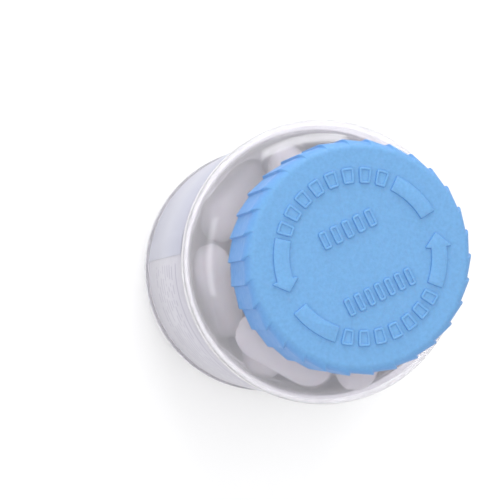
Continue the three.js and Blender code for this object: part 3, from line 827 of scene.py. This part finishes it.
def make_relief(material):
    """The raised arrows and the blank raised marks on the cap's top."""
    arrows, marks = [], []
    middle = (ARROW_IN_R + ARROW_OUT_R) / 2
    for a in ARROWS:
        arrows.append(bow(ARROW_OUT_R, *a["tail"]) + bow(ARROW_IN_R, *reversed(a["tail"])))
        start, neck = a["shaft"]
        base = neck - HEAD_OVERLAP
        head = [polar(ARROW_OUT_R + ARROW_BARB, base), polar(middle, a["tip"]),
                polar(ARROW_IN_R - ARROW_BARB, base)]
        arrows.append(bow(ARROW_OUT_R, start, base) + head + bow(ARROW_IN_R, base, start))
        first, last = a["marks"]
        step = (last - first) / a["count"]
        for i in range(a["count"]):
            begin = first + step * (i + MARK_START)
            end = begin + step * MARK_FILL
            marks.append(bow(ARROW_OUT_R, begin, end, 4.0) + bow(ARROW_IN_R, end, begin, 4.0))
    tilt = Matrix.Rotation(math.radians(ROW_TILT), 2)
    up = MIDDLE_MARK_L / 2
    for row in MIDDLE_ROWS:
        step = row["length"] / row["count"]
        half = step * MIDDLE_FILL / 2
        for i in range(row["count"]):
            x = (i + 0.5) * step - row["length"] / 2
            box = [(x - half, -up), (x + half, -up), (x + half, up), (x - half, up)]
            marks.append([tuple(tilt @ Vector(p) + Vector(row["centre"])) for p in box])
    obj = new_object("cap_arrows", *merge([plate(o, 0.25) for o in arrows]), sharp=50)
    place(obj, "outer_cap", "blue_cap", material)
    obj = new_object("cap_marks", *merge([plate(o, 0.45, MARK_FRAME) for o in marks]), sharp=50)
    place(obj, "outer_cap", "blue_cap", material)


# ---- tablets ----


def tablet_mesh():
    """A long tablet about its own axes: X along it, Z through its thickness."""
    half = (TABLET_L - TABLET_W) / 2
    width = TABLET_W / 2
    band = TABLET_BAND / 2
    crown = (TABLET_T - TABLET_BAND) / 2
    slopes = [math.radians(d) for d in (3, 10, 20, 32, 45, 58, 70, 80, 88)]
    dome = [(width * (1 - math.cos(a)) * CROWN_INSET, band + crown * math.sin(a) ** CROWN_FALL)
            for a in slopes]
    edge = [(BAND_STEP, band), (0.0, band - BAND_ROUND_H), (0.0, BAND_ROUND_H - band), (BAND_STEP, -band)]
    levels = dome[::-1] + edge + [(inset, -z) for inset, z in dome]
    turns = np.linspace(-math.pi / 2, math.pi / 2, 13)
    rings = []
    for inset, z in levels:
        r = max(width - inset, 0.02)
        near = [(half + r * math.cos(a), r * math.sin(a), z) for a in turns]
        far = [(-half - r * math.cos(a), -r * math.sin(a), z) for a in turns]
        rings.append(near + far)
    return capped(rings)


def tablet_axes(node):
    """A CAD tablet's centre, long axis and face normal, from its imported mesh."""
    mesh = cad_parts[node].data
    points = np.array([v.co for v in mesh.vertices])
    centre = (points.max(0) + points.min(0)) / 2
    spread = np.linalg.eigh(np.cov((points - points.mean(0)).T))[1][:, 2]
    areas = {}
    for face in mesh.polygons:
        key = tuple(round(c, 1) + 0.0 for c in face.normal)
        total, normal = areas.get(key, (0.0, Vector()))
        areas[key] = (total + face.area, normal + face.normal * face.area)
    face_normal = max(areas.values(), key=lambda entry: entry[0])[1].normalized()
    along = Vector(spread)
    along = (along - face_normal * along.dot(face_normal)).normalized()
    return Vector(centre), along, face_normal


def make_tablets():
    """A pressed tablet in the place of each CAD tablet."""
    material = tablet_white()
    verts, faces = tablet_mesh()
    for node in sorted(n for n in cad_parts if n.startswith("tablet_")):
        centre, along, normal = tablet_axes(node)
        across = normal.cross(along)
        turn = Matrix((along, across, normal)).transposed()
        placed = [tuple(turn @ Vector(v) + centre / MM) for v in verts]
        obj = new_object(node.replace("tablet", "pressed_tablet"), placed, faces, sharp=40)
        place(obj, "bottle", "tablet", material, node)


# ---- surroundings ----


def make_floor():
    """A wide pale floor that curves up all round, so that it has no edge in any view."""
    profile = [(r, FLOOR_Z) for r in (0, 200, 900, FLOOR_FLAT_R)]
    profile += arc(FLOOR_FLAT_R, FLOOR_Z + FLOOR_BEND_R, FLOOR_BEND_R, FLOOR_BEND_R, -84, -38, 10)
    obj = new_object("floor", *skin(turned_rings(profile, 72)))
    obj.data.materials.append(floor_white())


def softbox(name, at, aim, size, power):
    """A soft area light; at and aim are in metres."""
    light = bpy.data.lights.new(name, "AREA")
    light.shape = "RECTANGLE"
    light.size, light.size_y = size
    light.energy = power
    obj = bpy.data.objects.new(name, light)
    bpy.context.scene.collection.objects.link(obj)
    obj.location = at
    obj.rotation_euler = (Vector(aim) - Vector(at)).to_track_quat("-Z", "Y").to_euler()


def make_light():
    """A studio that is brightest overhead, with two long soft lamps to the left and above."""
    world = bpy.data.worlds.new("studio")
    bpy.context.scene.world = world
    world.use_nodes = True
    tree = world.node_tree
    place = tree.nodes.new("ShaderNodeTexCoord")
    split = tree.nodes.new("ShaderNodeSeparateXYZ")
    ramp = tree.nodes.new("ShaderNodeMapRange")
    tree.links.new(place.outputs["Generated"], split.inputs[0])
    tree.links.new(split.outputs[2], ramp.inputs[0])
    for i, v in enumerate((0.0, 1.0, HORIZON_LIGHT, ZENITH_LIGHT)):
        ramp.inputs[i + 1].default_value = v
    background = tree.nodes["Background"]
    background.inputs["Color"].default_value = (1, 1, 1, 1)
    tree.links.new(ramp.outputs[0], background.inputs["Strength"])
    for name, turn, rise, size, power in LAMPS:
        a, e = math.radians(turn), math.radians(rise)
        away = Vector((math.cos(e) * math.cos(a), math.cos(e) * math.sin(a), math.sin(e)))
        softbox(name, Vector(LAMP_TARGET) + away * LAMP_REACH, LAMP_TARGET, size, power)


def make_camera():
    """The photograph's view: almost along the bottle's axis, from above and a little to the left."""
    camera = bpy.data.cameras.new("camera")
    camera.sensor_width = 36
    camera.lens = CAMERA_LENS
    obj = bpy.data.objects.new("camera", camera)
    bpy.context.scene.collection.objects.link(obj)
    obj.location = CAMERA_AT
    forward = Vector(CAMERA_FORWARD).normalized()
    right = forward.cross(Vector(CAMERA_UP)).normalized()
    up = right.cross(forward)
    obj.rotation_euler = Matrix((right, up, -forward)).transposed().to_euler()
    bpy.context.scene.camera = obj


make_camera()
make_light()
make_floor()
white = white_plastic("white_shell", srgb(238, 238, 234), 0.00002)
make_bottle()
make_label()
make_liner()
make_inner_cap(white)
make_spring_ring(white)
make_outer_cap(blue_plastic("blue_cap", 0.00003, 1.0))
make_relief(blue_plastic("blue_cap_raised", 0.000012, 1.03))
make_tablets()
bpy.context.scene.view_settings.view_transform = "Standard"
